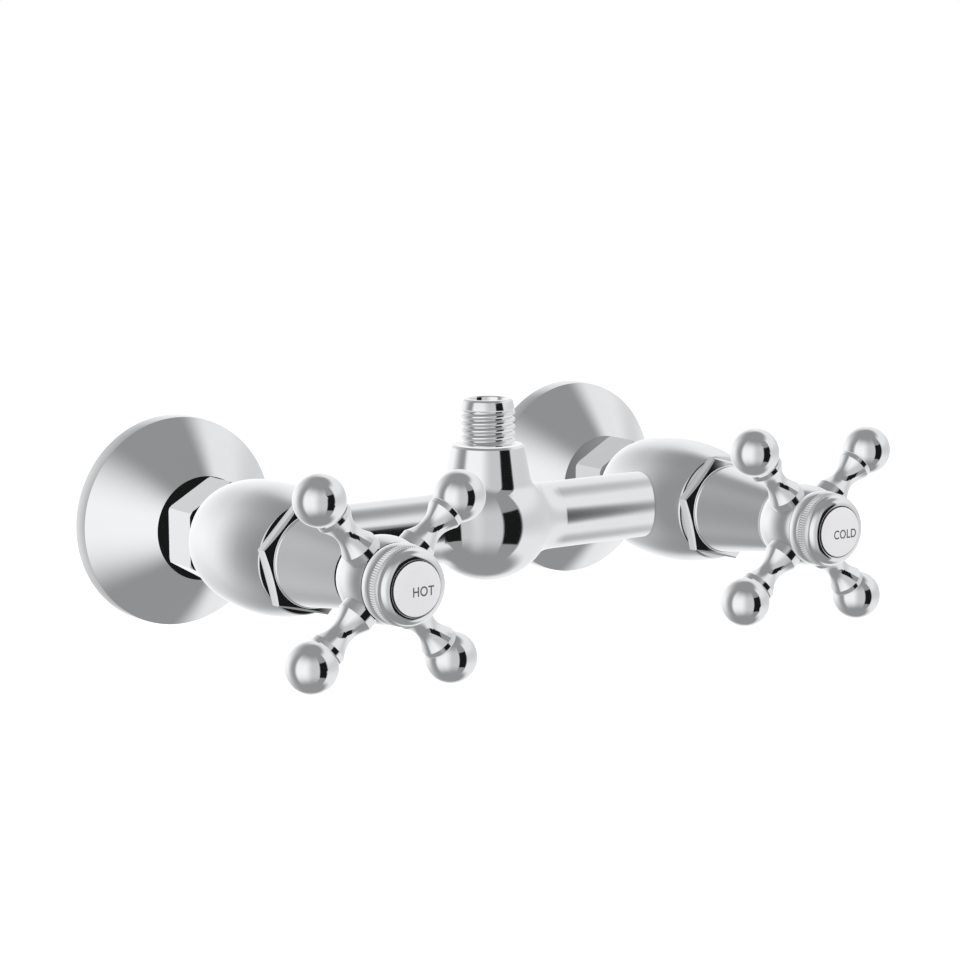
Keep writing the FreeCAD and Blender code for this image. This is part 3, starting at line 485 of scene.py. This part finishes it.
# %% Flanges
FLANGE_BACK_R, FLANGE_RIM_R, FLANGE_RIM_FRONT = 32.2, 31.9, 5.0
FLANGE_MOUTH_R, FLANGE_FRONT, FLANGE_HOLE_R, FLANGE_WALL = 15.7, 20.5, 10.528, 1.4
FLANGE_COLLAR_R, FLANGE_COLLAR_BACK = 17.1, 12.5
INNER_CONE_R, INNER_CONE_BACK, INNER_CONE_FRONT = 30.4, 3.19, 17.02
CREASE = 0.08
FLANGE_COLUMNS = 192
flange_profile = [
    (0.0, INNER_CONE_R),
    (0.0, FLANGE_BACK_R),
    (FLANGE_RIM_FRONT - CREASE, FLANGE_RIM_R),
    (FLANGE_RIM_FRONT, FLANGE_RIM_R - CREASE / 3),
    (FLANGE_RIM_FRONT + CREASE, FLANGE_RIM_R - CREASE),
    (FLANGE_FRONT - CREASE, FLANGE_MOUTH_R + CREASE),
    (FLANGE_FRONT, FLANGE_MOUTH_R),
    (FLANGE_FRONT, FLANGE_MOUTH_R - CREASE),
    (FLANGE_FRONT, FLANGE_HOLE_R),
    (FLANGE_FRONT - FLANGE_WALL, FLANGE_HOLE_R),
    (FLANGE_FRONT - FLANGE_WALL, FLANGE_MOUTH_R),
    (FLANGE_COLLAR_BACK, FLANGE_MOUTH_R),
    (FLANGE_COLLAR_BACK, FLANGE_COLLAR_R),
    (INNER_CONE_FRONT, FLANGE_COLLAR_R),
    (INNER_CONE_BACK, INNER_CONE_R),
]
for side, x in VALVES.items():
    turned(side + "_wall_flange_turned", x, flange_profile, FLANGE_COLUMNS, "chrome",
           "mixer_body", side + "_wall_flange")

# %% [markdown]
# ## Index discs and their words
# A disc lies in each bezel. The gap round it is painted dark: a thin black ring in the rubber finish, 0.3 mm
# wide, fills it and slopes back to the bezel, as painted shade for that gap. The disc's rim is rounded. The
# words are set with Blender's own font, made flat meshes and laid on the disc; they are ink, so they stand
# only
# 0.02 mm proud. In the photograph they sit a little right of the middle and below it.

# %% Discs
DISC_R, DISC_BACK, DISC_FACE, DISC_MIDDLE_R = 7.45, 134.05, 136.41, 4.0
DISC_ROUND, DISC_ROUND_MIDDLE = 0.2, 0.06
SHADE_RING_R, SHADE_RING_FRONT, SHADE_RING_BACK = 7.75, 136.3, 135.85
DISC_COLUMNS = 128
disc_profile = [
    (DISC_BACK, 0.0),
    (DISC_BACK, DISC_R),
    (DISC_FACE - DISC_ROUND, DISC_R),
    *arc((DISC_FACE - DISC_ROUND, DISC_R), (DISC_FACE - DISC_ROUND_MIDDLE, DISC_R - DISC_ROUND_MIDDLE),
         (DISC_FACE, DISC_R - DISC_ROUND), 6),
    (DISC_FACE, DISC_MIDDLE_R),
    (DISC_FACE, 0.0),
]
# Painted shade: a black ring in the rubber finish that darkens the gap between disc and bezel.
shade_ring_profile = [
    (DISC_BACK, DISC_R),
    (SHADE_RING_FRONT, DISC_R),
    (SHADE_RING_BACK, SHADE_RING_R),
    (DISC_BACK, SHADE_RING_R),
]
for side, x in VALVES.items():
    turned(side + "_index_disc_gloss", x, disc_profile, DISC_COLUMNS, "index_white",
           side + "_handle", side + "_index_disc")
    # The painted shade ring round each disc.
    turned(side + "_index_disc_shade_ring", x, shade_ring_profile, DISC_COLUMNS, "rubber", side + "_handle")

# %% Words
CAP_HEIGHT = 2.7
INK_THICK = 0.02
WORD_RIGHT, WORD_DOWN = 1.85, 0.92
WORD_NARROW = 0.84
STROKE_EXTRA = 0.05
LETTER_SPACE = 1.06
FONT_CAP_SHARE = 0.729


def word(text, name, x, body):
    """Flat letters in the xz plane, facing out of the wall: font units times the size that gives the cap
    height, with each right-hand distance times a share that narrows them."""
    lettering = bpy.data.curves.new(name, "FONT")
    lettering.body = text
    lettering.size = CAP_HEIGHT / FONT_CAP_SHARE * MM
    lettering.offset = STROKE_EXTRA * MM
    lettering.space_character = LETTER_SPACE
    lettering.align_x = "CENTER"
    lettering.align_y = "CENTER"
    lettering.extrude = INK_THICK / 2 * MM
    source = bpy.data.objects.new(name + "_curve", lettering)
    bpy.context.scene.collection.objects.link(source)
    mesh = bpy.data.meshes.new_from_object(source.evaluated_get(bpy.context.evaluated_depsgraph_get()))
    bpy.data.objects.remove(source)
    flat = np.empty(len(mesh.vertices) * 3)
    mesh.vertices.foreach_get("co", flat)
    right, up, out = flat.reshape(-1, 3).T
    face = (DISC_FACE + INK_THICK / 2) * MM
    across = right * WORD_NARROW + (x + WORD_RIGHT) * MM
    placed = np.stack([across, -(out + face), up - WORD_DOWN * MM], axis=1)
    mesh.vertices.foreach_set("co", placed.ravel())
    mesh.update()
    mesh.name = name
    mesh.materials.clear()
    mesh.materials.append(ink)
    made = bpy.data.objects.new(name, mesh)
    bpy.context.scene.collection.objects.link(made)
    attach(made, body)
    size = (placed.max(0) - placed.min(0)) / MM
    print(name, "measures", np.round(size, 2).tolist(), "mm")


word("HOT", "hot_lettering", VALVES["hot"], "hot_handle")
word("COLD", "cold_lettering", VALVES["cold"], "cold_handle")

# %% [markdown]
# ## The studio
# Chrome has no look of its own: it shows the studio. The photograph's studio can be read from the balls on
# the handles, which mirror all of it. There is a mid-grey surround, a large soft box on the left, brightest
# about 70 degrees round, a narrow black flag just right of the middle, a second soft box from there round to
# the back, and a pale strip behind. Lamps of those shapes would light the discs and the floor as well, so
# here they are drawn on one large dome that only mirror reflections see. Each panel is a soft-edged window
# in azimuth, counted from straight out of the wall towards +x, and in elevation, and it mixes its own level
# over what is below it.

# %% Dome
DOME_R = 20.0
DEGREES = 1
SURROUND = 0.348


def soft_step(values, start, end):
    """3 t^2 - 2 t^3 with t from 0 at start to 1 at end."""
    t = np.clip((values - start) / (end - start), 0, 1)
    return t * t * (3 - 2 * t)


def window(values, low, high, low_edge, high_edge):
    """1 between low and high, falling softly to 0 over the edge widths outside them."""
    return soft_step(values, low - low_edge, low) * (1 - soft_step(values, high, high + high_edge))


azimuth = np.arange(-180, 180, DEGREES, dtype=float)[None, :]
elevation = np.arange(-90, 90 + DEGREES, DEGREES, dtype=float)[:, None]
PANELS = [
    # title, level, azimuth from and to with both edge widths, elevation from and to with both edge widths
    ("front box", 0.69, (-92, 0, 18, 3), (-20, 20, 44, 44)),
    ("key box", 1.11, (-92, -60, 18, 36), (-8, 8, 58, 58)),
    ("fill box", 0.96, (41, 135, 4, 40), (-42, 42, 20, 20)),
    ("fill middle", 0.76, (40, 125, 2, 30), (-3, 3, 24, 24)),
    ("rear box", 1.14, (160, 200, 44, 44), (0, 0, 62, 62)),
    ("flag", 0.012, (5, 34, 3, 5), (-32, 24, 3, 3)),
]
light = np.full((elevation.shape[0], azimuth.shape[1]), SURROUND)
for title, panel_level, sweep, rise in PANELS:
    share = np.maximum(window(azimuth, *sweep), window(azimuth + 360, *sweep)) * window(elevation, *rise)
    light = light + (panel_level - light) * share
    print(title, "covers", round(float(share.mean()) * 100, 1), "% of the dome's grid")

azimuth_turn, elevation_turn = np.radians(azimuth), np.radians(elevation)
level_ring = DOME_R * np.cos(elevation_turn)
dome_points = np.stack(np.broadcast_arrays(
    level_ring * np.sin(azimuth_turn),
    -level_ring * np.cos(azimuth_turn),
    DOME_R * np.sin(elevation_turn)), axis=-1)
dome_faces = quads(wrapped(*light.shape, closed_rows=False))
dome_mesh = bpy.data.meshes.new("studio_dome")
dome_mesh.from_pydata(dome_points.reshape(-1, 3).tolist(), [], dome_faces.tolist())
dome_light = dome_mesh.attributes.new("light", "FLOAT", "POINT")
dome_light.data.foreach_set("value", light.ravel())
dome = bpy.data.objects.new("studio_dome", dome_mesh)
bpy.context.scene.collection.objects.link(dome)
dome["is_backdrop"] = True
for seen_by in ("camera", "diffuse", "transmission", "volume_scatter", "shadow"):
    setattr(dome, "visible_" + seen_by, False)

boards = bpy.data.materials.new("studio_boards")
boards.use_nodes = True
boards.cycles.emission_sampling = "NONE"
boards.node_tree.nodes.clear()
level = add(boards.node_tree, "ShaderNodeAttribute", attribute_name="light")
glow = add(boards.node_tree, "ShaderNodeEmission", {"Strength": level.outputs["Fac"]})
add(boards.node_tree, "ShaderNodeOutputMaterial", {"Surface": glow.outputs["Emission"]})
dome_mesh.materials.append(boards)
print("dome levels from", round(float(light.min()), 3), "to", round(float(light.max()), 3))

# %% [markdown]
# ## Floor, lamps and backdrop
# A mixer is fixed about a metre above the floor, so the pale floor lies there. The backdrop is white for
# every ray that the eye follows, straight, mirrored or through glass, while diffuse surfaces get a gentler
# sky, at which a white disc renders about as white as it is written. Two large soft lamps shape what isn't
# chrome; mirrors don't see them, because the dome already has the soft boxes. The floor glows a little for
# the eye, so that it joins the backdrop, and keeps the mixer's shadow.

# %% Floor and light
FLOOR_DROP = 1.0
FLOOR_HALF = 30.0
FLOOR_GLOW = 0.7
SKY = 0.55
LAMPS_AIM = np.array([0, -0.06, 0])

floor_mesh = bpy.data.meshes.new("floor")
corners = np.array([(-1, -1), (1, -1), (1, 1), (-1, 1)]) * FLOOR_HALF
floor_mesh.from_pydata([(x, y, -FLOOR_DROP) for x, y in corners.tolist()], [], [(0, 1, 2, 3)])
floor = bpy.data.objects.new("floor", floor_mesh)
bpy.context.scene.collection.objects.link(floor)
floor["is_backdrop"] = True
floor.visible_glossy = False


def seen_rays(tree):
    """1 for rays that the eye follows: camera, glossy and transmission rays added up, held at 1."""
    path = add(tree, "ShaderNodeLightPath").outputs
    mirrored = add(tree, "ShaderNodeMath", {0: path["Is Camera Ray"], 1: path["Is Glossy Ray"]},
                   operation="ADD")
    both = add(tree, "ShaderNodeMath", {0: mirrored.outputs[0], 1: path["Is Transmission Ray"]},
               operation="ADD", use_clamp=True)
    return both.outputs[0]


floor_paint, tree, shader = new_material("pale_floor_paint", Roughness=0.8)
shader.inputs["Base Color"].default_value = linear("#F2F2F2")
shader.inputs["Emission Color"].default_value = linear("#FFFFFF")
floor_glow = add(tree, "ShaderNodeMath", {0: seen_rays(tree), 1: FLOOR_GLOW}, operation="MULTIPLY")
tree.links.new(floor_glow.outputs[0], shader.inputs["Emission Strength"])
floor_mesh.materials.append(floor_paint)

world = bpy.data.worlds.new("studio")
world.use_nodes = True
bpy.context.scene.world = world
world.node_tree.nodes.clear()
strength = add(world.node_tree, "ShaderNodeMapRange",
               {"Value": seen_rays(world.node_tree), "To Min": SKY, "To Max": 1.0})
sky = add(world.node_tree, "ShaderNodeBackground",
          {"Color": linear("#FFFFFF"), "Strength": strength.outputs["Result"]})
add(world.node_tree, "ShaderNodeOutputWorld", {"Surface": sky.outputs["Background"]})


def lamp(name, place, size, power):
    """Square soft lamp that looks at the middle of the mixer; mirrors don't see it."""
    light_data = bpy.data.lights.new(name, "AREA")
    light_data.size = size
    light_data.energy = power
    made = bpy.data.objects.new(name, light_data)
    bpy.context.scene.collection.objects.link(made)
    made.location = place
    aim = LAMPS_AIM - np.array(place)
    tilt = math.atan2(math.hypot(aim[0], aim[1]), -aim[2])
    made.rotation_euler = (tilt, 0, math.atan2(aim[1], aim[0]) - math.pi / 2)
    made.visible_glossy = False


lamp("key_lamp", (-1.6, -1.4, 1.2), 1.4, 22)
lamp("fill_lamp", (1.5, -1.2, 0.6), 1.6, 9)
bpy.context.scene.view_settings.view_transform = "Standard"
print("floor at z =", -FLOOR_DROP)

# %% [markdown]
# ## Camera
# The camera looks from the left and a little from above, with a long lens. Its turn, tilt and distance were
# found by matching the solids' outlines to the photograph; the picture's middle is the lens axis.

# %% Camera
LENS_PIXELS, PICTURE, SENSOR = 2634.475, 960, 36.0
YAW, PITCH, ROLL = math.radians(-34.770), math.radians(8.820), math.radians(-0.149)
SHIFT_RIGHT, SHIFT_UP, DISTANCE = -32.731, -5.142, 848.288

right = np.array([math.cos(YAW), math.sin(YAW), 0])
back = np.array([math.sin(YAW) * math.cos(PITCH), -math.cos(YAW) * math.cos(PITCH), math.sin(PITCH)])
up = np.cross(back, right)
rolled_right = math.cos(ROLL) * right + math.sin(ROLL) * up
rolled_up = math.cos(ROLL) * up - math.sin(ROLL) * right
eye = (-SHIFT_RIGHT * rolled_right - SHIFT_UP * rolled_up + DISTANCE * back) * MM

lens = bpy.data.cameras.new("camera")
lens.sensor_width = SENSOR
lens.lens = SENSOR * LENS_PIXELS / PICTURE
camera = bpy.data.objects.new("camera", lens)
bpy.context.scene.collection.objects.link(camera)
pose = np.eye(4)
pose[:3, :3] = np.stack([rolled_right, rolled_up, back], axis=1)
pose[:3, 3] = eye
camera.matrix_world = pose.T.tolist()
bpy.context.scene.camera = camera
print("lens", round(lens.lens, 2), "mm, eye at", np.round(eye, 3).tolist())

# %% [markdown]
# ## Mirrors that see only the studio
# In the photograph no piece shows in another one: each mirrors the studio alone. So the pieces are left out
# of one another's reflections, while they still shade one another.

# %% Clean reflections
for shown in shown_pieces():
    shown.visible_glossy = False
